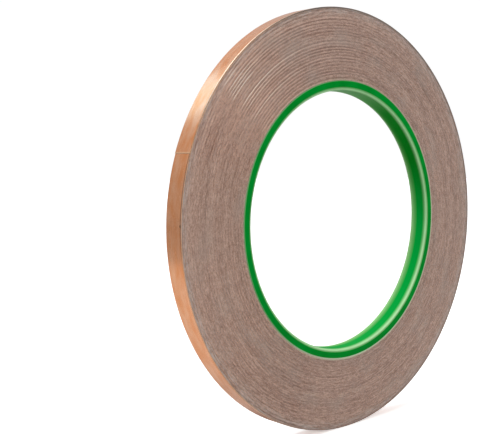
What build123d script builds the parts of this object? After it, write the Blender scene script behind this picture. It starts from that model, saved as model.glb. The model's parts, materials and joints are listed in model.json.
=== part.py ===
from build123d import *
from math import cos, degrees, radians, sin
import os

# A roll of copper foil tape on a moulded plastic core. Millimetres and degrees.
# The roll's axis is Y, +Z is up, and the origin is the middle of the core's bore.
# Angles turn in the XZ plane from +X towards +Z, and the tape winds outwards as they grow.

# Core: a ring with a 3 inch bore, bevelled where the bore meets each end face
bore_radius = 38.1
core_wall = 2.85
core_width = 6.35
bevel_radial = 1.1
bevel_axial = 0.4
bevel_to_bore_rounding = 0.8
bevel_to_face_rounding = 0.3
rim_rounding = 0.16

# Tape: a paper release liner inside, conductive adhesive, and copper foil outside
tape_width = 6.0
liner_thickness = 0.064
adhesive_thickness = 0.030
foil_thickness = 0.035
layer_gap = 0.002
turns = 155
layered_turns = 2

# Free end: the last stretch of tape, able to lift in short stiff lengths
cut_end_angle = 161.5
tail_lengths = 5
tail_length_angle = 8.0
cut_gap = 0.05
peel_share = 0.4

core_radius = bore_radius + core_wall
pitch = liner_thickness + adhesive_thickness + foil_thickness + 3 * layer_gap
outer_radius = core_radius + turns * pitch

# Each layer's lower and upper face, as heights above the underside of its own turn
adhesive_bottom = liner_thickness + layer_gap
foil_bottom = adhesive_bottom + adhesive_thickness + layer_gap
tape_top = foil_bottom + foil_thickness
layers = {
    "liner": (0, liner_thickness),
    "adhesive": (adhesive_bottom, adhesive_bottom + adhesive_thickness),
    "foil": (foil_bottom, tape_top),
}

# The spiral is made of half turns about two centres, which lie on the line through the cut end.
# Half turn 0 is the first one modelled layer by layer, and the last one ends at the cut end.
last_half_turn = 2 * layered_turns
first_angle = cut_end_angle - 180 * (last_half_turn + 1)
tail_start_angle = cut_end_angle - tail_lengths * tail_length_angle
peel_angle = cut_end_angle - (1 - peel_share) * tail_length_angle
gap_angle = degrees(cut_gap / outer_radius)


def start_of(half_turn):
    return first_angle + 180 * half_turn


def centre_of(half_turn):
    """Successive half turns meet on the line through the centres, a quarter pitch either side."""
    offset = -pitch / 4 if half_turn % 2 == 0 else pitch / 4
    return (offset * cos(radians(first_angle)), offset * sin(radians(first_angle)))


def arc(half_turn, height, start, end):
    """An arc at a height above the tape's underside, about its half turn's own centre."""
    underside = outer_radius - tape_top - (last_half_turn - half_turn) * pitch / 2
    return CenterArc(centre_of(half_turn), underside + height, start, end - start)


def across_the_roll(face):
    """Extrude a face drawn in the XZ plane to the tape's width, half of it on each side."""
    return extrude(Plane.XZ * face, amount=tape_width / 2, both=True)


def strip(heights, stretches):
    """One layer of tape, along stretches that are each (half turn, start angle, end angle)."""
    inner, outer = [[arc(h, height, a, b) for h, a, b in stretches] for height in heights]
    first_cut = Line(inner[0] @ 0, outer[0] @ 0)
    last_cut = Line(inner[-1] @ 1, outer[-1] @ 1)
    return across_the_roll(make_face(inner + outer + [first_cut, last_cut]))


def core_ring():
    """The core's section, as radius and place along the axis, turned about the axis."""
    half = core_width / 2
    bevel_radius = bore_radius + bevel_radial
    section = Polygon(
        (bore_radius, bevel_axial - half),
        (bevel_radius, -half),
        (core_radius, -half),
        (core_radius, half),
        (bevel_radius, half),
        (bore_radius, half - bevel_axial),
        align=None,
    )
    roundings = {
        bore_radius: bevel_to_bore_rounding,
        bevel_radius: bevel_to_face_rounding,
        core_radius: rim_rounding,
    }
    for radius, rounding in roundings.items():
        corners = section.vertices().filter_by(lambda corner: abs(corner.X - radius) < 0.01)
        section = fillet(corners, rounding)
    return revolve(section, Axis.Y)


def wound_pack():
    """Every turn under the layered ones, as one solid whose outside steps up where they begin."""
    first = arc(-2, tape_top, start_of(-2), start_of(-1))
    second = arc(-1, tape_top, start_of(-1), start_of(0))
    step = Line(second @ 1, first @ 0)
    outside = make_face([first, second, step])
    return across_the_roll(outside - Circle(core_radius + layer_gap))


def outer_turns(heights):
    """One layer of the last turns that lie tight on the roll, up to the start of the tail."""
    stretches = [(h, start_of(h), start_of(h + 1)) for h in range(last_half_turn)]
    stretches[0] = (0, start_of(0) + gap_angle, start_of(1))
    tail_side = tail_start_angle - gap_angle / 2
    stretches.append((last_half_turn, start_of(last_half_turn), tail_side))
    return strip(heights, stretches)


def tail_piece(heights, start, end):
    """One layer of one stiff length of the tail, between two angles of the last half turn."""
    return strip(heights, [(last_half_turn, start + gap_angle / 2, end - gap_angle / 2)])


parts = {"core_ring": core_ring(), "wound_pack": wound_pack()}
for layer, heights in layers.items():
    parts[f"outer_{layer}"] = outer_turns(heights)

for number in range(1, tail_lengths + 1):
    start = tail_start_angle + (number - 1) * tail_length_angle
    for layer, heights in layers.items():
        peels = number == tail_lengths and layer != "liner"
        end = peel_angle if peels else start + tail_length_angle
        parts[f"tail_{layer}_{number}"] = tail_piece(heights, start, end)
for layer in ("adhesive", "foil"):
    parts[f"{layer}_end"] = tail_piece(layers[layer], peel_angle, cut_end_angle)

os.makedirs("parts", exist_ok=True)
for name, solid in parts.items():
    export_step(solid, f"parts/{name}.step")
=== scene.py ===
import json
from math import atan2, cos, degrees, hypot, pi, radians, sin, tan

import bpy
import bmesh
import numpy as np
from mathutils import Matrix, Vector


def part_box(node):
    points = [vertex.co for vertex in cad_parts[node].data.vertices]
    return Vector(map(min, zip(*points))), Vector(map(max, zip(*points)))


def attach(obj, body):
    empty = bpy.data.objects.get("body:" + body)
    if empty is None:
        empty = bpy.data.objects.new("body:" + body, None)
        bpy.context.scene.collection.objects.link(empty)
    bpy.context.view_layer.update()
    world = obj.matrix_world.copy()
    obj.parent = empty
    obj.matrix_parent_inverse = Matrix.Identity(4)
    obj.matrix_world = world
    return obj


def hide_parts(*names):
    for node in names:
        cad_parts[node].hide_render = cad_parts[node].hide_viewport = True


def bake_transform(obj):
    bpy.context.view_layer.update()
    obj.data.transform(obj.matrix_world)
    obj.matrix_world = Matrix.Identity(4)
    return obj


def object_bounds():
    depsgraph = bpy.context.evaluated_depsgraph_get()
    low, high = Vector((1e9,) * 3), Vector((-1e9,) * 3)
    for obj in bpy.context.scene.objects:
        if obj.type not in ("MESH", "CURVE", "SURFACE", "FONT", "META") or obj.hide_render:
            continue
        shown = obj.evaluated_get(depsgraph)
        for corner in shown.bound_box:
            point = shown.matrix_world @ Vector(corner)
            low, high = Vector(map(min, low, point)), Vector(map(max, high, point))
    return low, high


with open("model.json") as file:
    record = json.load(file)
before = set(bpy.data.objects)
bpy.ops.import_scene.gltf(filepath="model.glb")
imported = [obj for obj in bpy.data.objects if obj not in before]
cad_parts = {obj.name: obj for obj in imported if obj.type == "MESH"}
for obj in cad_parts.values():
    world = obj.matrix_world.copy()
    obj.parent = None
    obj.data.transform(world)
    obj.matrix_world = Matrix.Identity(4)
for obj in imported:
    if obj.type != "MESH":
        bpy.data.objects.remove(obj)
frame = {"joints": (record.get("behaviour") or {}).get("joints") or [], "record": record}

# A roll of copper foil tape on a green moulded core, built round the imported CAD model.
# Metres, +Z up. The roll's axis is Y and its origin is the middle of the core's bore.
# The front of the roll faces -Y, and right is +X.
# Angles are in degrees, in the XZ plane, from +X towards +Z: the tape winds outwards as they grow.
# A place along the tape is given in turns, counted inwards from the cut end.

MM = 0.001
cad_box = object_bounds()

# ---------------------------------------------------------------- sizes that come from the frame
joints = {joint["name"]: joint for joint in frame["joints"]}
mounts = {mount["name"]: mount for mount in frame["record"]["mounts"]}
core_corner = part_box("core_ring")[1]
cut_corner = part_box("foil_end")[0]

BORE_RADIUS = mounts["core_bore"]["dims"]["r_mm"] * MM
CORE_RADIUS = core_corner.x
CORE_HALF_WIDTH = core_corner.y
TAPE_HALF_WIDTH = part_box("outer_foil")[1].y
CUT_ANGLE = degrees(atan2(cut_corner.z, cut_corner.x))


def joint_place(name):
    """A hinge's distance from the roll's axis and its angle."""
    x, _, z = joints[name]["pos_m"]
    return hypot(x, z), degrees(atan2(z, x))


OUTER_RADIUS, PEEL_ANGLE = joint_place("foil_peel")
TAIL_START_ANGLE = joint_place("tape_end_lift")[1]
TAIL_STEP = joint_place("tape_end_bend_2")[1] - TAIL_START_ANGLE
TAIL_LENGTHS = 5

# ---------------------------------------------------------------- the core's section
BEVEL_WIDTH = 1.1 * MM
FRONT_BEVEL_DEPTH = 0.4 * MM
BACK_BEVEL_DEPTH = 0.3 * MM

# ---------------------------------------------------------------- the winding
TURNS = 155
OUTER_STRIP_TURNS = 2.5
PITCH = (OUTER_RADIUS - CORE_RADIUS) / TURNS

# Each layer's underside and top within a turn
LAYERS = {
    "liner": (0.0, 0.064 * MM),
    "adhesive": (0.066 * MM, 0.096 * MM),
    "foil": (0.098 * MM, 0.133 * MM),
}
TAPE_THICKNESS = LAYERS["foil"][1]
TAPE_UVS = "along_and_across"

# The turns don't lie quite in line: over how many turns a slide changes, its most in mm, and its seed
WANDER = ((0.35, 0.006, 11), (2.3, 0.010, 12), (9.0, 0.020, 13), (40.0, 0.040, 14))
MOST_WANDER = 0.165 * MM

# Broad ridges lie across the turns. They are highest over one stretch of angles.
# Single turns stand proud over a part of it.
RIDGE_TURNS = 6.45
RIDGE_PEAK = 0.3
RIDGE_LEAN = 0.85
RIDGE_HEIGHT = 0.035 * MM
STEEP_RIDGE_HEIGHT = 0.095 * MM
STEEP_FROM, STEEP_TO = 60.0, 146.0
PROUD_HEIGHT = 0.060 * MM
PROUD_FROM, PROUD_TO = 128.0, 146.0
PROUD_TURNS = 66.0

# One turn's edge in the pack: copper between two shares of the pitch, paper below it, and a seam under that
STEPS_PER_TURN = 108
COPPER_FROM, COPPER_TO = 0.70, 0.95
COPPER_STEP = 0.006 * MM
SEAM_DEPTH = 0.010 * MM
CORE_GAP = 0.004 * MM
PAPER_FACE, COPPER_FACE = 0, 1

# The edges of the outermost turns are pressed in a little
EDGE_DROP = 0.048 * MM
BACK_EDGE_SHARE = 0.2
EDGE_WIDTH = 0.42 * MM
DROP_DEPTH = 5.0

# The last turn isn't quite smooth: slow waves, a crease near the free end, and a cut end that lifts a little
WAVES = ((31, 1.3), (53, -2.1))
WAVE_HEIGHT = 0.012 * MM
CREASE_ANGLE = 157.3
CREASE_HEIGHT = 0.020 * MM
CREASE_SPREAD = 0.35
CURL_ANGLE = 0.50
CURL_HEIGHT = 0.015 * MM
LIFT_DEPTH = 0.8

# The layers of the outer turns and the tail: places across the width, and how their slit edges are shaped
ACROSS = {
    "foil": (
        -1.0, -0.992, -0.97, -0.94, -0.90, -0.86, -0.7, -0.4, 0.0,
        0.4, 0.7, 0.86, 0.90, 0.94, 0.97, 0.992, 1.0,
    ),
    "adhesive": (-1.0, -0.95, -0.86, -0.4, 0.0, 0.4, 0.86, 0.95, 1.0),
    "liner": (-1.0, -0.95, -0.86, -0.4, 0.0, 0.4, 0.86, 0.95, 1.0),
}
EDGE_CORNER = {"foil": 0.008 * MM, "adhesive": 0.0, "liner": 0.0}
EDGE_RECESS = {"foil": 0.0, "adhesive": 0.03 * MM, "liner": 0.0}

# Steps between points along the tape, in degrees
OUTER_TURNS_STEP = 1.0
TAIL_DETAIL_STEP = 0.5
CUT_END_STEP = 0.1

# How far the peeling piece starts before its hinge, in stiff lengths
PEEL_OVERLAP = 0.2

# ---------------------------------------------------------------- how it is seen
CAMERA_AZIMUTH = -48.0
CAMERA_ELEVATION = 3.95
CAMERA_DISTANCE = 4.077 * (OUTER_RADIUS - PITCH / 4)
CAMERA_LENS = 62.79
ROLL_RIGHT_OF_VIEW = 6.716
ROLL_BELOW_VIEW = 0.191
FLOOR_REACH = 3.0

# The room's brightness by height, from straight down at 0 to straight up at 1
ROOM_LEVELS = (
    (0.0, 0.70), (0.36, 0.70), (0.375, 0.47), (0.60, 0.48),
    (0.66, 0.55), (0.75, 0.62), (1.0, 0.62),
)
COOL_LAMP_DIRECTION = Vector((-0.160, 0.775, 0.608)).normalized()
COOL_LAMP_COLOUR = (0.75, 1.45, 2.05)
TOP_LAMP_DIRECTION = Vector((-0.14, 0.18, 0.97)).normalized()
TOP_LAMP_LEVEL = 2.6

# Square lamps: name, place, size and power
SOFTBOXES = (
    ("front_lamp", (0.20, -0.84, 0.50), 0.14, 2.4),
    ("key_lamp", (-0.15, -0.11, 0.34), 0.05, 0.20),
    ("bore_lamp", (0.0, -0.004, 0.001), 0.02, 0.0060),
)


# ================================================================ shape helpers
def wander(turn, spacing, seed):
    """Smooth random values in -1..1 along the tape, one new value every so many turns."""
    knots = np.random.default_rng(seed).uniform(-1, 1, int((TURNS + 4) / spacing) + 3)
    place = (np.asarray(turn, float) + 1) / spacing
    left = np.floor(place).astype(int)
    share = place - left
    share = share * share * (3 - 2 * share)
    return knots[left] * (1 - share) + knots[left + 1] * share


def between(angle, low, high, soft_low, soft_high):
    """1 between two angles, falling to 0 over a soft stretch inside each end."""
    rise = np.clip((angle - low) / soft_low, 0, 1)
    fall = np.clip((high - angle) / soft_high, 0, 1)
    return rise * rise * (3 - 2 * rise) * fall * fall * (3 - 2 * fall)


def ridges(turn):
    """The ridges' height from 0 to 1, how steep they are here, and how far single turns stand proud."""
    angle = (CUT_ANGLE - 360 * turn) % 360
    steep = between(angle, STEEP_FROM, STEEP_TO, 84, 6)
    tooth = (turn / RIDGE_TURNS + 0.17 * wander(turn, 11.0, 15)) % 1
    saw = np.where(tooth < RIDGE_PEAK, tooth / RIDGE_PEAK, (1 - tooth) / (1 - RIDGE_PEAK))
    at_peak = np.exp(-(((tooth - RIDGE_PEAK) * RIDGE_TURNS) ** 2))
    in_patch = between(angle, PROUD_FROM, PROUD_TO, 12, 6) * np.clip((PROUD_TURNS - turn) / 8, 0, 1)
    uneven = np.clip(0.6 + 0.9 * wander(turn, RIDGE_TURNS, 17), 0, 1.15)
    return saw, steep, at_peak * in_patch * uneven


def sideways(turn):
    """How far a turn has slid along +Y; the whole width of the tape slides as one."""
    turn = np.asarray(turn, float)
    slide = sum(amount * MM * wander(turn, spacing, seed) for spacing, amount, seed in WANDER)
    saw, steep, proud = ridges(turn)
    height = RIDGE_HEIGHT * (1 + 0.5 * wander(turn, 5.0, 16)) + STEEP_RIDGE_HEIGHT * steep
    slide = slide - height * (saw - 0.5) - PROUD_HEIGHT * proud
    slide = slide * np.clip(turn / 3 + 0.25, 0, 1)
    return np.clip(slide, -MOST_WANDER, MOST_WANDER)


def top_radius(turn):
    return OUTER_RADIUS - PITCH * turn


def edge_drop(y, turn):
    """How far the tape lies below its true radius: only near its edges, and only in outer turns."""
    near_edge = np.clip((np.abs(y) - (TAPE_HALF_WIDTH - EDGE_WIDTH)) / EDGE_WIDTH, 0, 1)
    share = np.where(np.asarray(y) > 0, BACK_EDGE_SHARE, 1.0)
    return EDGE_DROP * share * near_edge ** 2 * np.exp(-turn / DROP_DEPTH)


def lift(angle, y):
    """How far the last turn stands above its true radius; turns under it are lifted less and less."""
    turn = (CUT_ANGLE - angle) / 360
    across = y / TAPE_HALF_WIDTH
    waves = sum(1 + np.sin(radians(1) * count * angle + slant * across) for count, slant in WAVES)
    crease = np.exp(-((angle - CREASE_ANGLE) / CREASE_SPREAD) ** 2) * np.clip(0.35 - 0.65 * across, 0, 1)
    curl = np.clip((angle - CUT_ANGLE + CURL_ANGLE) / CURL_ANGLE, 0, 1) ** 2
    raised = WAVE_HEIGHT / 2 * waves + CREASE_HEIGHT * crease + CURL_HEIGHT * curl
    return raised * np.exp(-turn / LIFT_DEPTH)


def on_roll(angle, radius, y):
    """Points from angles, radii and places along the axis."""
    angle, radius, y = np.broadcast_arrays(np.radians(angle), radius, y)
    return np.stack([radius * np.cos(angle), y, radius * np.sin(angle)], axis=-1)


def grid_quads(ids):
    """Quads over a grid of vertex numbers."""
    return np.stack([ids[:-1, :-1], ids[1:, :-1], ids[1:, 1:], ids[:-1, 1:]], axis=-1).reshape(-1, 4)


def row_quads(low, high, count):
    """Quads between two rows of points, from the number of each row's first point."""
    steps = np.arange(count + 1)
    return grid_quads(np.stack([low + steps, high + steps]))


def face_outwards(mesh, extra_face=()):
    """Turns a mesh's faces outwards, once one more face is made from vertex numbers if any are given."""
    turned = bmesh.new()
    turned.from_mesh(mesh)
    turned.verts.ensure_lookup_table()
    if len(extra_face):
        turned.faces.new([turned.verts[number] for number in extra_face])
    bmesh.ops.recalc_face_normals(turned, faces=turned.faces)
    turned.to_mesh(mesh)
    turned.free()


def build(name, points, quads, materials, material_of=None, uvs=None, tones=None, sharp_angle=32):
    """A mesh object from points and quads, with a material, UVs and a tone for each where given."""
    mesh = bpy.data.meshes.new(name)
    mesh.vertices.add(len(points))
    mesh.vertices.foreach_set("co", np.asarray(points, np.float32).ravel())
    mesh.loops.add(quads.size)
    mesh.loops.foreach_set("vertex_index", quads.astype(np.int32).ravel())
    mesh.polygons.add(len(quads))
    mesh.polygons.foreach_set("loop_start", np.arange(0, quads.size, 4, dtype=np.int32))
    if material_of is not None:
        mesh.polygons.foreach_set("material_index", material_of.astype(np.int32))
    mesh.update(calc_edges=True)
    if uvs is not None:
        layer = mesh.uv_layers.new(name=TAPE_UVS)
        layer.data.foreach_set("uv", uvs[quads.ravel()].astype(np.float32).ravel())
    if tones is not None:
        tone = mesh.attributes.new("tone", "FLOAT", "POINT")
        tone.data.foreach_set("value", tones.astype(np.float32))
    face_outwards(mesh)
    mesh.shade_smooth()
    mesh.set_sharp_from_angle(angle=radians(sharp_angle))
    for material in materials:
        mesh.materials.append(material)
    piece = bpy.data.objects.new(name, mesh)
    bpy.context.scene.collection.objects.link(piece)
    return piece


def slab(name, outer, inner, material, uvs):
    """A closed sheet between two grids of points, with walls along all four sides."""
    rows, columns = outer.shape[:2]
    points = np.concatenate([outer.reshape(-1, 3), inner.reshape(-1, 3)])
    top = np.arange(rows * columns).reshape(rows, columns)
    bottom = top + rows * columns
    walls = [(top[:, 0], bottom[:, 0]), (top[:, -1], bottom[:, -1])]
    walls += [(top[0], bottom[0]), (top[-1], bottom[-1])]
    quads = [grid_quads(top), grid_quads(bottom)]
    quads += [grid_quads(np.stack(pair, axis=1)) for pair in walls]
    uvs = np.concatenate([uvs.reshape(-1, 2)] * 2)
    return build(name, points, np.concatenate(quads), [material], uvs=uvs)


# ================================================================ material helpers
def new_material(name):
    material = bpy.data.materials.new(name)
    material.use_nodes = True
    tree = material.node_tree
    tree.nodes.clear()
    return material, tree


def add(tree, kind, inputs=None, **settings):
    """A node with its settings, and inputs that are either values or another node's output."""
    made = tree.nodes.new(kind)
    for setting, value in settings.items():
        setattr(made, setting, value)
    for key, value in (inputs or {}).items():
        if isinstance(value, bpy.types.NodeSocket):
            tree.links.new(value, made.inputs[key])
        else:
            made.inputs[key].default_value = value
    return made


def maths(tree, operation, a, b=0.0):
    return add(tree, "ShaderNodeMath", {0: a, 1: b}, operation=operation).outputs[0]


def plus(tree, a, b):
    return maths(tree, "ADD", a, b)


def minus(tree, a, b):
    return maths(tree, "SUBTRACT", a, b)


def times(tree, a, b):
    return maths(tree, "MULTIPLY", a, b)


def length_of(tree, a, b):
    """The distance that two steps at right angles make together."""
    return maths(tree, "SQRT", plus(tree, times(tree, a, a), times(tree, b, b)))


def noise(tree, place, scale, detail=2.0, roughness=0.5):
    """Noise that runs from 0 to 1 about a middle of 0.5."""
    inputs = {"Vector": place, "Scale": scale, "Detail": detail, "Roughness": roughness}
    return add(tree, "ShaderNodeTexNoise", inputs).outputs[0]


def remap(tree, value, low, high, to_low=0.0, to_high=1.0):
    """`to_low` where the value is at `low` or past it, `to_high` at `high`, and even steps between."""
    inputs = {0: value, 1: low, 2: high, 3: to_low, 4: to_high}
    return add(tree, "ShaderNodeMapRange", inputs).outputs[0]


def mix(tree, factor, a, b):
    """One colour turning into another as the factor goes from 0 to 1."""
    return add(tree, "ShaderNodeMix", {0: factor, 6: a, 7: b}, data_type="RGBA").outputs[2]


def vector(tree, x, y, z):
    return add(tree, "ShaderNodeCombineXYZ", {0: x, 1: y, 2: z}).outputs[0]


def split_vector(tree, place):
    return add(tree, "ShaderNodeSeparateXYZ", {0: place}).outputs


def object_place(tree):
    return add(tree, "ShaderNodeTexCoord").outputs["Object"]


def tape_place(tree):
    """A point's place in metres: along the tape, negative back from its cut end, and across it."""
    return add(tree, "ShaderNodeUVMap", uv_map=TAPE_UVS).outputs[0]


def tone_and_light_of_turn(tree):
    """The tone that each point of the wound turns carries: random unevenness, with painted light, shade and
    glints.
    """
    return add(tree, "ShaderNodeAttribute", attribute_name="tone").outputs["Fac"]


def round_place(tree):
    """How far right and how far up a point is, each from -1 to 1, and its radius and its y."""
    x, y, z = split_vector(tree, object_place(tree))
    radius = length_of(tree, x, z)
    return maths(tree, "DIVIDE", x, radius), maths(tree, "DIVIDE", z, radius), radius, y


def streaks(tree, round_scale, radial_scale, side_scale=0.0, detail=2.0, roughness=0.6):
    """Noise that is stretched along the turns and fine across them."""
    right, up, radius, y = round_place(tree)
    depth = plus(tree, times(tree, radius, radial_scale), times(tree, y, side_scale))
    place = vector(tree, times(tree, right, round_scale), times(tree, up, round_scale), depth)
    return noise(tree, place, 1.0, detail, roughness)


def lower_right_highlight(tree):
    """1 at the lower right of the roll, where the painted highlight on the core's rim is strongest, and 0.25
    opposite.
    """
    right, up, _, _ = round_place(tree)
    return remap(tree, minus(tree, right, up), -0.2, 0.9, 0.25, 1.0)


def bump(tree, height, strength, distance):
    """The surface's direction, roughened by a height."""
    inputs = {"Strength": strength, "Distance": distance, "Height": height}
    return add(tree, "ShaderNodeBump", inputs).outputs[0]


def finish_material(tree, surface):
    out = add(tree, "ShaderNodeOutputMaterial")
    tree.links.new(surface.outputs[0], out.inputs["Surface"])


# ================================================================ materials
def grey_patches_and_sheen(tree, colour, radius, rings, dashes, bare):
    """Grey patches all over, and a painted silvery sheen on an outer stretch of turns; `bare` is 0 where
    neither shows.
    """
    patches = streaks(tree, 4.0, 160.0, roughness=0.5)
    # Painted sheen: the outermost turns are painted silvery, more on some rings.
    outer = remap(tree, radius, OUTER_RADIUS - 3.2 * MM, OUTER_RADIUS - 0.8 * MM)
    outer = times(tree, outer, remap(tree, rings, 0.38, 0.62, 0.15, 0.90))
    amount = maths(tree, "MAXIMUM", remap(tree, patches, 0.50, 0.75, 0.0, 0.45), outer)
    silver_sheen = mix(tree, remap(tree, dashes, 0.40, 0.60), (0.33, 0.30, 0.28, 1), (0.62, 0.59, 0.57, 1))
    grey = mix(tree, remap(tree, outer, 0.0, 0.4), (0.41, 0.375, 0.345, 1), silver_sheen)
    return mix(tree, times(tree, amount, bare), colour, grey)


def wound_edge_material():
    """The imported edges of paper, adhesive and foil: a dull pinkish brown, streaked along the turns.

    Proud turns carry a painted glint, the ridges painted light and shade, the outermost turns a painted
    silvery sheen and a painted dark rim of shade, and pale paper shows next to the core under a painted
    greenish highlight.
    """
    material, tree = new_material("wound_edge")
    right, _, radius, _ = round_place(tree)
    tone = tone_and_light_of_turn(tree)
    rings = streaks(tree, 9.0, 2300.0)
    dashes = streaks(tree, 28.0, 2600.0)
    fibres = streaks(tree, 110.0, 3300.0)
    streak = plus(tree, times(tree, rings, 0.25), times(tree, dashes, 0.37))
    streak = plus(tree, streak, times(tree, fibres, 0.38))
    # The tone adds random unevenness, and painted light and shade on the ridges.
    streak = plus(tree, streak, times(tree, tone, 0.040))
    brown, pink = (0.22, 0.142, 0.116, 1), (0.66, 0.480, 0.410, 1)
    colour = mix(tree, remap(tree, streak, 0.385, 0.615), brown, pink)
    # Painted glint: proud turns are painted pale.
    painted_glint = remap(tree, tone, 3.6, 5.2, 0.0, 0.95)
    colour = mix(tree, painted_glint, colour, (1.0, 0.94, 0.84, 1))
    colour = grey_patches_and_sheen(tree, colour, radius, rings, dashes, minus(tree, 1.0, painted_glint))
    # Painted shade: a dark rim on the outermost turns, darker towards the right.
    painted_rim_shade = remap(tree, radius, OUTER_RADIUS - 0.95 * MM, OUTER_RADIUS - 0.55 * MM)
    painted_rim_shade = times(tree, painted_rim_shade, remap(tree, right, -0.7, 0.3, 0.10, 0.55))
    colour = mix(tree, painted_rim_shade, colour, (0.16, 0.12, 0.105, 1))
    # Pale paper next to the core, under a painted greenish highlight that is strongest at the lower right.
    core_paper_and_highlight = remap(tree, radius, CORE_RADIUS + 0.20 * MM, CORE_RADIUS + 0.50 * MM, 0.9, 0.0)
    colour = mix(tree, times(tree, core_paper_and_highlight, lower_right_highlight(tree)), colour, (0.66, 0.78, 0.58, 1))
    height = plus(tree, times(tree, fibres, 0.5), times(tree, dashes, 0.5))
    inputs = {
        "Base Color": colour,
        "Roughness": remap(tree, fibres, 0.3, 0.7, 0.36, 0.60),
        "Specular IOR Level": 0.4,
        "Normal": bump(tree, height, 0.6, 0.05 * MM),
    }
    finish_material(tree, add(tree, "ShaderNodeBsdfPrincipled", inputs))
    return material


def near_black_spot(tree, along, across):
    """1 at one small near-black spot on the tape's front edge, nearly a full turn back from the cut end."""
    off_along = plus(tree, along, 370.6 * MM)
    off_across = plus(tree, across, TAPE_HALF_WIDTH - 0.05 * MM)
    return remap(tree, length_of(tree, off_along, off_across), 0.25 * MM, 0.50 * MM, 0.9, 0.0)


def copper_material():
    """Bright rolled copper: fine lines along the tape, slow changes of tone and a few dull spots.

    It carries a painted highlight at the cut end. Its front edge carries a painted highlight along one
    stretch, painted shade along another, and one near-black spot.
    """
    material, tree = new_material("copper_foil")
    along, across, _ = split_vector(tree, tape_place(tree))
    line_place = vector(tree, times(tree, along, 40.0), times(tree, across, 9000.0), 0.0)
    cloud_place = vector(tree, times(tree, along, 160.0), times(tree, across, 420.0), 3.0)
    lines = noise(tree, line_place, 1.0, 3.0, 0.6)
    clouds = noise(tree, cloud_place, 1.0, 4.0, 0.6)
    spots = remap(tree, noise(tree, cloud_place, 6.0, 3.0, 0.6), 0.62, 0.80, 0.0, 0.5)
    colour = mix(tree, remap(tree, clouds, 0.38, 0.62), (0.92, 0.375, 0.160, 1), (0.97, 0.50, 0.29, 1))
    colour = mix(tree, spots, colour, (0.62, 0.30, 0.16, 1))
    # Painted highlight: the foil is painted paler at the cut end.
    cut_end_highlight = remap(tree, along, -0.55 * MM, -0.25 * MM, 0.0, 0.7)
    colour = mix(tree, cut_end_highlight, colour, (0.99, 0.64, 0.40, 1))
    at_edge = remap(tree, across, 0.12 * MM - TAPE_HALF_WIDTH, 0.34 * MM - TAPE_HALF_WIDTH, 1.0, 0.0)
    # Painted highlight along one stretch of the front edge.
    painted_edge_highlight = times(tree, at_edge, remap(tree, along, -13.0 * MM, -7.0 * MM, 0.8, 0.0))
    painted_edge_highlight = times(tree, painted_edge_highlight, remap(tree, along, -330.0 * MM, -300.0 * MM))
    colour = mix(tree, painted_edge_highlight, colour, (0.99, 0.84, 0.68, 1))
    # Painted shade along another stretch of the front edge.
    painted_edge_shade = times(tree, at_edge, remap(tree, along, -366.0 * MM, -358.0 * MM, 0.75, 0.0))
    colour = mix(tree, painted_edge_shade, colour, (0.36, 0.17, 0.10, 1))
    colour = mix(tree, near_black_spot(tree, along, across), colour, (0.05, 0.03, 0.02, 1))
    rough = plus(tree, remap(tree, lines, 0.3, 0.7, 0.20, 0.28), times(tree, spots, 0.15))
    inputs = {
        "Base Color": colour,
        "Metallic": 1.0,
        "Roughness": plus(tree, rough, times(tree, painted_edge_highlight, 0.16)),
        "Anisotropic": 0.6,
        "Anisotropic Rotation": 0.25,
        "Tangent": add(tree, "ShaderNodeTangent", direction_type="UV_MAP", uv_map=TAPE_UVS).outputs[0],
        "Normal": bump(tree, lines, 0.25, 0.004 * MM),
    }
    finish_material(tree, add(tree, "ShaderNodeBsdfPrincipled", inputs))
    return material


def foil_edge_material():
    """The slit edge of the foil: dull copper with burrs from the knife, with a painted glint on proud turns,
    where it is also smoother, and darker where the tone is low, partly at random and partly painted shade in
    the ridges' hollows and the seams.
    """
    material, tree = new_material("foil_edge")
    tone = tone_and_light_of_turn(tree)
    dashes = streaks(tree, 60.0, 2600.0)
    burrs = streaks(tree, 220.0, 7000.0, detail=3.0)
    colour = mix(tree, remap(tree, dashes, 0.3, 0.7), (0.50, 0.25, 0.15, 1), (0.88, 0.56, 0.40, 1))
    # Painted glint on proud turns.
    colour = mix(tree, remap(tree, tone, 3.2, 5.0, 0.0, 0.9), colour, (0.98, 0.90, 0.80, 1))
    # Darker where the tone is low: partly random, partly painted shade in the ridges' hollows and the seams.
    colour = mix(tree, remap(tree, tone, -0.2, -1.4, 0.0, 0.45), colour, (0.24, 0.13, 0.09, 1))
    smoother = remap(tree, tone, 2.4, 4.6, 0.46, 0.24)
    inputs = {
        "Base Color": colour,
        "Metallic": 1.0,
        "Roughness": plus(tree, remap(tree, burrs, 0.3, 0.7, 0.0, 0.12), smoother),
        "Normal": bump(tree, burrs, 0.6, 0.02 * MM),
    }
    finish_material(tree, add(tree, "ShaderNodeBsdfPrincipled", inputs))
    return material


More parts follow.
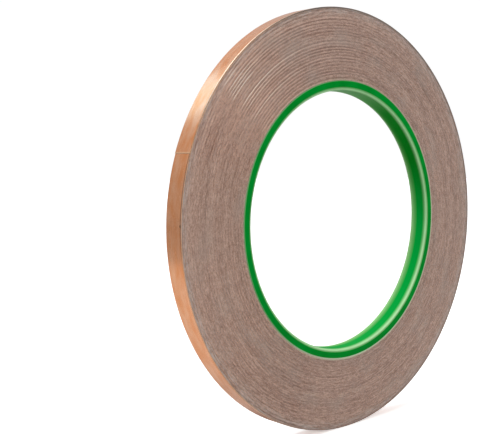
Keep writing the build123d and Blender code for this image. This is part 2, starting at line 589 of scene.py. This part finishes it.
def liner_material():
    """Pale release paper with a faint fibre. Its slit edges are dark, with a painted copper-coloured light
    on them at the left.
    """
    material, tree = new_material("liner_paper")
    place = tape_place(tree)
    fibre = noise(tree, place, 4000.0, 4.0, 0.65)
    cloud = noise(tree, place, 350.0)
    colour = mix(tree, remap(tree, fibre, 0.3, 0.7), (0.50, 0.46, 0.40, 1), (0.66, 0.62, 0.55, 1))
    colour = mix(tree, remap(tree, cloud, 0.3, 0.7, 0.0, 0.4), colour, (0.60, 0.53, 0.44, 1))
    _, across, _ = split_vector(tree, place)
    slit_edge = maths(tree, "GREATER_THAN", maths(tree, "ABSOLUTE", across), TAPE_HALF_WIDTH - 0.01 * MM)
    right, _, _, _ = round_place(tree)
    # Painted copper-coloured light on the slit edges at the left.
    copper_light_at_left = remap(tree, right, -0.80, -0.25, 1.0, 0.0)
    edge_colour = mix(tree, copper_light_at_left, (0.26, 0.21, 0.18, 1), (0.88, 0.50, 0.29, 1))
    inputs = {
        "Base Color": mix(tree, slit_edge, colour, edge_colour),
        "Roughness": 0.62,
        "Normal": bump(tree, fibre, 0.4, 0.01 * MM),
    }
    finish_material(tree, add(tree, "ShaderNodeBsdfPrincipled", inputs))
    return material


def adhesive_material():
    """Tacky grey adhesive loaded with fine conductive grains."""
    material, tree = new_material("adhesive")
    place = tape_place(tree)
    grain = noise(tree, place, 9000.0, 3.0, 0.7)
    smear = noise(tree, place, 500.0, 3.0)
    inputs = {
        "Base Color": mix(
            tree, remap(tree, grain, 0.35, 0.65), (0.22, 0.205, 0.19, 1), (0.40, 0.375, 0.35, 1)
        ),
        "Roughness": remap(tree, smear, 0.3, 0.7, 0.22, 0.45),
        "Normal": bump(tree, grain, 0.4, 0.006 * MM),
    }
    finish_material(tree, add(tree, "ShaderNodeBsdfPrincipled", inputs))
    return material


def whitening_and_highlight(tree, up, y, cloud, near_bore, in_bore):
    """How pale the plastic is: on the bevels partly rubbed and partly a painted highlight, least at the
    right, and a painted sheen in the bore's top.
    """
    off_face = minus(tree, CORE_HALF_WIDTH, maths(tree, "ABSOLUTE", y))
    near_face = maths(tree, "POWER", remap(tree, off_face, 0.30 * MM, 1.7 * MM, 1.0, 0.0), 2.2)
    white = times(tree, near_bore, near_face)
    white = times(tree, white, remap(tree, cloud, 0.3, 0.7, 0.88, 1.0))
    # The painted highlight on the bevels is weaker higher up.
    white = times(tree, white, remap(tree, up, -0.25, 0.25, 0.97, 0.72))
    # Painted sheen in the bore's top.
    bore_top_sheen = times(tree, remap(tree, up, 0.84, 0.98), in_bore)
    return maths(tree, "MAXIMUM", white, times(tree, bore_top_sheen, 0.13))


def core_material():
    """Green moulded plastic with painted light and shade: the bore's upper half deeper green, pale bevels
    that are partly rubbed plastic and partly a painted highlight, and painted highlights on the far bevel
    and the rim.
    """
    material, tree = new_material("core_plastic")
    _, up, radius, y = round_place(tree)
    cloud = streaks(tree, 6.0, 200.0, 300.0, detail=3.0, roughness=0.5)
    turned = streaks(tree, 3.0, 9000.0, 9000.0, detail=3.0)
    off_bore = minus(tree, radius, BORE_RADIUS + 0.15 * MM)
    in_bore = remap(tree, off_bore, -0.12 * MM, 0.15 * MM, 1.0, 0.0)
    near_bore = remap(tree, off_bore, 0.10 * MM, 0.85 * MM, 1.0, 0.0)
    face_colour = mix(tree, remap(tree, cloud, 0.3, 0.7), (0.0, 0.24, 0.021, 1), (0.0, 0.31, 0.031, 1))
    # Painted light and shade: the bore is lighter in its lower half and deeper green in its upper half.
    lit_and_shaded_bore_colour = mix(tree, remap(tree, up, -0.1, 0.45), (0.0, 0.36, 0.045, 1), (0.0, 0.21, 0.009, 1))
    colour = mix(tree, in_bore, face_colour, lit_and_shaded_bore_colour)
    white = whitening_and_highlight(tree, up, y, cloud, near_bore, in_bore)
    colour = mix(tree, times(tree, white, 0.95), colour, (0.66, 1.0, 0.56, 1))
    # Painted highlight on the far bevel, stronger lower down.
    back_edge_highlight = remap(tree, minus(tree, CORE_HALF_WIDTH, y), 0.9 * MM, 2.7 * MM, 0.75, 0.0)
    back_edge_highlight = times(tree, back_edge_highlight, remap(tree, up, -0.15, 0.65, 1.0, 0.15))
    colour = mix(tree, times(tree, back_edge_highlight, near_bore), colour, (0.32, 0.58, 0.23, 1))
    # Painted highlight on the core's rim, strongest at the lower right.
    rim_highlight = remap(tree, radius, CORE_RADIUS - 0.30 * MM, CORE_RADIUS - 0.08 * MM, 0.0, 0.95)
    colour = mix(tree, times(tree, rim_highlight, lower_right_highlight(tree)), colour, (0.80, 0.95, 0.72, 1))
    inputs = {
        "Base Color": colour,
        "Roughness": remap(tree, turned, 0.3, 0.7, 0.34, 0.46),
        "Specular IOR Level": remap(tree, white, 0.2, 1.0, 0.02, 0.9),
        "Specular Tint": (0.55, 1.0, 0.50, 1),
        "Normal": bump(tree, turned, 0.35, 0.01 * MM),
    }
    finish_material(tree, add(tree, "ShaderNodeBsdfPrincipled", inputs))
    return material


# ================================================================ pieces
def rounded_corner(before, corner, after, radius, steps):
    """Points of an arc that rounds a corner of a section."""
    into = (np.array(before) - corner) / np.linalg.norm(np.array(before) - corner)
    out = (np.array(after) - corner) / np.linalg.norm(np.array(after) - corner)
    half_turn = np.arccos(np.clip(into @ out, -1, 1)) / 2
    reach = radius / np.tan(half_turn)
    bisector = (into + out) / np.linalg.norm(into + out)
    centre = corner + bisector * radius / np.sin(half_turn)
    start = corner + into * reach - centre
    end = corner + out * reach - centre
    whole = np.arccos(np.clip(start @ end / radius ** 2, -1, 1))
    shares = np.linspace(0, 1, steps)
    arms = [np.sin((1 - share) * whole) * start + np.sin(share * whole) * end for share in shares]
    return [centre + arm / np.sin(whole) for arm in arms]


def core(material):
    """The core ring, turned from its section. A corner is a radius, a place on the axis and a rounding."""
    half = CORE_HALF_WIDTH
    bevel_radius = BORE_RADIUS + BEVEL_WIDTH
    corners = [
        (BORE_RADIUS, FRONT_BEVEL_DEPTH - half, 0.8 * MM),
        (bevel_radius, -half, 0.3 * MM),
        (CORE_RADIUS, -half, 0.16 * MM),
        (CORE_RADIUS, half, 0.16 * MM),
        (bevel_radius, half, 0.3 * MM),
        (BORE_RADIUS, half - BACK_BEVEL_DEPTH, 0.4 * MM),
    ]
    section = []
    for number, (radius, y, rounding) in enumerate(corners):
        before = corners[number - 1][:2]
        after = corners[(number + 1) % len(corners)][:2]
        section += rounded_corner(before, np.array((radius, y)), after, rounding, 6)
    section = np.array(section)
    angles = np.arange(0, 360, 1.0)
    points = on_roll(angles[:, None], section[None, :, 0], section[None, :, 1])
    ids = np.arange(points.shape[0] * points.shape[1]).reshape(points.shape[:2])
    ids = np.vstack([ids, ids[:1]])
    ids = np.hstack([ids, ids[:, :1]])
    piece = build("core", points.reshape(-1, 3), grid_quads(ids), [material])
    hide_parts("core_ring")
    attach(piece, "roll")


def stands_out(side, owner, share):
    """How far out a turn's edge stands: it leans with the ridges, but keeps a step from the next turn."""
    lean = RIDGE_LEAN * sideways(owner + 1 - share) + (1 - RIDGE_LEAN) * sideways(owner + 0.5)
    return side * lean


def pack_side(side, turn, seam_turn):
    """One side's rows of points: the seam under each turn, where its copper begins, and its corner."""
    seam_radius = np.maximum(top_radius(seam_turn + 1), CORE_RADIUS + CORE_GAP)
    seam_radius = seam_radius - edge_drop(TAPE_HALF_WIDTH, seam_turn + 1)
    radius = top_radius(turn + 1) - edge_drop(TAPE_HALF_WIDTH, turn)
    copper_step = COPPER_STEP * wander(turn, 1.3, 21 + side)
    rows = [
        (seam_turn, seam_radius, stands_out(side, seam_turn, 0) - SEAM_DEPTH),
        (turn, radius + COPPER_FROM * PITCH, stands_out(side, turn, COPPER_FROM)),
        (turn, radius + COPPER_TO * PITCH, stands_out(side, turn, COPPER_TO) + copper_step),
    ]
    return [on_roll(CUT_ANGLE - 360 * t, r, side * (TAPE_HALF_WIDTH + out)) for t, r, out in rows]


def pack_tone_and_light(turn):
    """How light each turn's edge is: uneven at random, with painted light and shade on the ridges, strongest
    over one stretch of angles, and a painted glint on proud turns.
    """
    saw, steep, proud = ridges(turn)
    tone = 0.5 * wander(turn, 0.15, 31) + 0.4 * wander(turn, 3.1, 32) + 0.4 * wander(turn, 12.0, 33)
    contrast = 1 + 0.45 * wander(turn, RIDGE_TURNS, 18) + 0.35 * wander(turn, 1.1, 19)
    return tone + (2 * saw - 1) * (0.4 + 3.4 * steep) * contrast + 5 * proud


def wound_turns(edge, copper):
    """The spiral pack: every turn's edge is a small ridge, and the pack is closed all round."""
    count = int(round((TURNS - OUTER_STRIP_TURNS) * STEPS_PER_TURN))
    turn = TURNS - np.arange(count + 1) / STEPS_PER_TURN
    seam_turn = TURNS - np.arange(count + 1 + STEPS_PER_TURN) / STEPS_PER_TURN
    rim_turn = seam_turn[count:]
    tone = pack_tone_and_light(turn)
    # Painted shade: the seams under the turns are darker.
    seam_shade_tone = np.concatenate([tone - 0.3, np.full(STEPS_PER_TURN, -0.3)])

    rows = pack_side(-1, turn, seam_turn) + pack_side(1, turn, seam_turn)
    tones = [seam_shade_tone, tone, tone] * 2
    for y in (EDGE_WIDTH - TAPE_HALF_WIDTH, TAPE_HALF_WIDTH - EDGE_WIDTH):
        rows.append(on_roll(CUT_ANGLE - 360 * rim_turn, top_radius(rim_turn + 1), y))
        # Painted shade: the rim rows are darker.
        tones.append(np.full(len(rim_turn), -0.5))
    starts = np.cumsum([0] + [len(row) for row in rows[:-1]])
    front, front_inner, front_corner, back, back_inner, back_corner, rim_front, rim_back = starts

    faces = []
    for seam, inner, corner in (starts[0:3], starts[3:6]):
        faces.append((row_quads(seam, inner, count), PAPER_FACE))
        faces.append((row_quads(inner, corner, count), COPPER_FACE))
        faces.append((row_quads(corner, seam + STEPS_PER_TURN, count), COPPER_FACE))
    faces.append((row_quads(front, back, STEPS_PER_TURN), PAPER_FACE))
    for low, high in ((front + count, rim_front), (rim_front, rim_back), (rim_back, back + count)):
        faces.append((row_quads(low, high, STEPS_PER_TURN), COPPER_FACE))
    inner_end = np.array([
        (front, front_inner, front_corner, front + STEPS_PER_TURN),
        (back, back_inner, back_corner, back + STEPS_PER_TURN),
    ])
    faces.append((grid_quads(inner_end), PAPER_FACE))
    quads = np.concatenate([made for made, _ in faces])
    kinds = np.concatenate([np.full(len(made), kind) for made, kind in faces])
    points, tones = np.concatenate(rows), np.concatenate(tones)
    piece = build("wound_turns", points, quads, [edge, copper], kinds, tones=tones, sharp_angle=25)

    outer_end = [front, front_inner, front_corner, front + STEPS_PER_TURN]
    outer_end += [rim_front + STEPS_PER_TURN - count, rim_back + STEPS_PER_TURN - count]
    outer_end += [back + STEPS_PER_TURN, back_corner, back_inner, back]
    outer_end += [rim_back - count, rim_front - count]
    face_outwards(piece.data, [number + count for number in outer_end])
    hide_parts("wound_pack")
    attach(piece, "roll")


def strip(name, layer, start, end, material, step):
    """One layer of tape between two angles of its last turns, with pressed edges and a slight waviness."""
    inner_angles = np.arange(start + step, end - step / 2, step)
    angles = np.concatenate([[start, start + CUT_END_STEP], inner_angles, [end - CUT_END_STEP, end]])
    turn = (CUT_ANGLE - angles) / 360
    share = np.array(ACROSS[layer])[None, :]
    y = share * (TAPE_HALF_WIDTH - EDGE_RECESS[layer])
    low, high = LAYERS[layer]
    underside = (top_radius(turn) - TAPE_THICKNESS)[:, None] - edge_drop(y, turn[:, None])
    underside = underside + lift(angles[:, None], y)
    rounding = EDGE_CORNER[layer] * (np.abs(share) == 1)
    slid_y = y + sideways(turn)[:, None]
    outer = on_roll(angles[:, None], underside + high - rounding, slid_y)
    inner = on_roll(angles[:, None], underside + low + rounding / 2, slid_y)
    along = -2 * pi * OUTER_RADIUS * turn
    uvs = np.stack(np.broadcast_arrays(along[:, None], y), axis=-1)
    return slab(name, outer, inner, material, uvs)


def outer_turns(materials):
    """The turns that lie tight on the roll, layer by layer, up to half a length before the first hinge."""
    start = CUT_ANGLE - 360 * OUTER_STRIP_TURNS
    end = TAIL_START_ANGLE - TAIL_STEP / 2
    for layer in LAYERS:
        piece = strip(f"outer_turns_{layer}", layer, start, end, materials[layer], OUTER_TURNS_STEP)
        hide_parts(f"outer_{layer}")
        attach(piece, "roll")


def bend_over(piece):
    """Bakes the piece's place into its mesh; it is not bent here."""
    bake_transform(piece)


def tail(materials):
    """The free end: each piece crosses one hinge, from the middle of one stiff length to the next."""
    hinges = ["tape_end_lift"] + [f"tape_end_bend_{number}" for number in range(2, TAIL_LENGTHS + 1)]
    peel_start = PEEL_ANGLE - TAIL_STEP * PEEL_OVERLAP
    for number, hinge in enumerate(hinges, start=1):
        # The first hinge lies on the roll, so nothing before it may bend down into the turns below
        start = TAIL_START_ANGLE + (number - 1.5) * TAIL_STEP
        for layer in LAYERS:
            end = start + TAIL_STEP
            if number == TAIL_LENGTHS:
                end = CUT_ANGLE if layer == "liner" else peel_start
            name = f"tail_{layer}_bend_{number}"
            piece = strip(name, layer, start, end, materials[layer], TAIL_DETAIL_STEP)
            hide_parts(f"tail_{layer}_{number}")
            bend_over(piece)
    for layer in ("adhesive", "foil"):
        piece = strip(f"{layer}_free_end", layer, peel_start, CUT_ANGLE, materials[layer], TAIL_DETAIL_STEP)
        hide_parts(f"{layer}_end")
        bend_over(piece)


# ================================================================ studio
def cone(tree, direction, middle, near, far, level=1.0):
    """`level` within `near` degrees of a direction, falling to 0 at `far` degrees."""
    towards = add(tree, "ShaderNodeVectorMath", {0: direction, 1: middle}, operation="DOT_PRODUCT")
    return remap(tree, towards.outputs["Value"], cos(radians(far)), cos(radians(near)), 0.0, level)


def room_level(tree, height):
    """The room's brightness by height."""
    ramp = add(tree, "ShaderNodeValToRGB", {"Fac": remap(tree, height, -1.0, 1.0)})
    elements = ramp.color_ramp.elements
    while len(elements) < len(ROOM_LEVELS):
        elements.new(0.5)
    for element, (place, level) in zip(elements, ROOM_LEVELS):
        element.position = place
        element.color = (level, level, level, 1)
    return ramp.outputs[0]


def studio_world():
    """White to the camera. The roll sees a pale room with a grey band round its horizon and two soft lamps.

    The band is darkest away from the back left, and the whole room is darker towards the front right.
    """
    world = bpy.data.worlds.new("studio")
    bpy.context.scene.world = world
    world.use_nodes = True
    tree = world.node_tree
    tree.nodes.clear()
    direction = add(tree, "ShaderNodeTexCoord").outputs["Generated"]
    height = split_vector(tree, direction)[2]
    level = add(tree, "ShaderNodeVectorMath", {0: direction, 1: (1, 1, 0)}, operation="MULTIPLY").outputs[0]
    level = add(tree, "ShaderNodeVectorMath", {0: level}, operation="NORMALIZE").outputs[0]

    off_back_left = minus(tree, 1.0, cone(tree, level, (-0.60, 0.80, 0), 14, 45))
    in_band = remap(tree, height, 0.10, 0.30, 1.0, 0.0)
    band_shade = remap(tree, times(tree, off_back_left, in_band), 0.0, 1.0, 1.0, 0.20)
    front_right = cone(tree, level, (0.88, -0.47, 0), 30, 75)
    front_shade = remap(tree, front_right, 0.0, 1.0, 1.0, 0.25)
    light = times(tree, times(tree, room_level(tree, height), band_shade), front_shade)
    light = plus(tree, light, cone(tree, direction, TOP_LAMP_DIRECTION, 18, 23, TOP_LAMP_LEVEL))
    glow = cone(tree, direction, COOL_LAMP_DIRECTION, 2.5, 12.5)
    glow = add(tree, "ShaderNodeVectorMath", {0: glow, 1: COOL_LAMP_COLOUR}, operation="MULTIPLY").outputs[0]
    light = add(tree, "ShaderNodeVectorMath", {0: light, 1: glow}, operation="ADD").outputs[0]

    seen = add(tree, "ShaderNodeLightPath").outputs["Is Camera Ray"]
    room = add(tree, "ShaderNodeBackground", {"Color": light})
    white = add(tree, "ShaderNodeBackground", {"Color": (1.0, 1.0, 1.0, 1), "Strength": 1.02})
    mixed = add(tree, "ShaderNodeMixShader", {0: seen, 1: room.outputs[0], 2: white.outputs[0]})
    out = add(tree, "ShaderNodeOutputWorld")
    tree.links.new(mixed.outputs[0], out.inputs["Surface"])


def floor_as_roll_sees_it(tree, x, y):
    """The floor's colour in the roll's reflections: pale, greyer in front, with a brown shade behind."""
    off_sheet = plus(tree, times(tree, x, -0.72), times(tree, y, 0.69))
    off_sheet = maths(tree, "GREATER_THAN", off_sheet, 0.233)
    colour = mix(tree, off_sheet, (0.77, 0.77, 0.77, 1), (0.52, 0.51, 0.50, 1))
    in_front = remap(tree, y, -0.020, 0.0, 1.0, 0.0)
    colour = mix(tree, in_front, colour, (0.66, 0.66, 0.66, 1))
    reach = length_of(tree, x, y)
    near_shade = remap(tree, reach, 0.020, 0.036, 1.0, 0.0)
    far_shade = remap(tree, reach, 0.046, 0.066, 0.14, 0.0)
    behind = remap(tree, y, 0.002, 0.010)
    shade = times(tree, maths(tree, "MAXIMUM", near_shade, far_shade), behind)
    return mix(tree, shade, colour, (0.16, 0.085, 0.05, 1))


def studio_floor():
    """A pale floor that clears to white away from the roll's own soft shadow."""
    material, tree = new_material("floor")
    place = object_place(tree)
    x, y, _ = split_vector(tree, place)
    pale = mix(tree, noise(tree, place, 60.0, 3.0), (0.90, 0.90, 0.90, 1), (0.93, 0.93, 0.93, 1))
    seen = add(tree, "ShaderNodeLightPath").outputs["Is Camera Ray"]
    colour = mix(tree, seen, floor_as_roll_sees_it(tree, x, y), pale)
    diffuse = add(tree, "ShaderNodeBsdfDiffuse", {"Color": colour})
    lit = add(tree, "ShaderNodeEmission", {"Color": (1.0, 1.0, 1.0, 1), "Strength": times(tree, seen, 0.50)})
    finish_material(tree, add(tree, "ShaderNodeAddShader", {0: diffuse.outputs[0], 1: lit.outputs[0]}))
    mesh = bpy.data.meshes.new("floor")
    level = cad_box[0].z
    reach = FLOOR_REACH
    corners = [(-reach, -reach), (reach, -reach), (reach, reach), (-reach, reach)]
    corners = [(x, y, level) for x, y in corners]
    mesh.from_pydata(corners, [], [(0, 1, 2, 3)])
    mesh.materials.append(material)
    floor = bpy.data.objects.new("floor", mesh)
    bpy.context.scene.collection.objects.link(floor)


def softbox(name, place, size, power):
    """A square area lamp that faces the roll."""
    data = bpy.data.lights.new(name, "AREA")
    data.size = size
    data.energy = power
    lamp = bpy.data.objects.new(name, data)
    lamp.location = place
    lamp.rotation_mode = "QUATERNION"
    lamp.rotation_quaternion = (-Vector(place)).to_track_quat("-Z", "Y")
    lamp.visible_camera = False
    bpy.context.scene.collection.objects.link(lamp)


def camera():
    """The camera stands off along its azimuth and elevation, turned to put the roll right of its middle."""
    azimuth, elevation = radians(CAMERA_AZIMUTH), radians(CAMERA_ELEVATION)
    back = Vector((sin(azimuth) * cos(elevation), -cos(azimuth) * cos(elevation), sin(elevation)))
    right = Vector((cos(azimuth), sin(azimuth), 0))
    straight = Matrix((right, back.cross(right), back)).transposed()
    towards_roll = Vector((tan(radians(ROLL_RIGHT_OF_VIEW)), -tan(radians(ROLL_BELOW_VIEW)), -1))
    turned = Vector((0, 0, -1)).rotation_difference(towards_roll.normalized()).to_matrix().transposed()
    data = bpy.data.cameras.new("camera")
    data.lens = CAMERA_LENS
    data.sensor_width = 36.0
    data.clip_start = 0.01
    data.clip_end = 20.0
    made = bpy.data.objects.new("camera", data)
    made.matrix_world = Matrix.Translation(back * CAMERA_DISTANCE) @ (straight @ turned).to_4x4()
    bpy.context.scene.collection.objects.link(made)
    bpy.context.scene.camera = made


# ================================================================ put together
materials = {"liner": liner_material(), "adhesive": adhesive_material(), "foil": copper_material()}
core(core_material())
wound_turns(wound_edge_material(), foil_edge_material())
outer_turns(materials)
tail(materials)

studio_world()
studio_floor()
for box in SOFTBOXES:
    softbox(*box)
camera()
bpy.context.scene.view_settings.view_transform = "Standard"
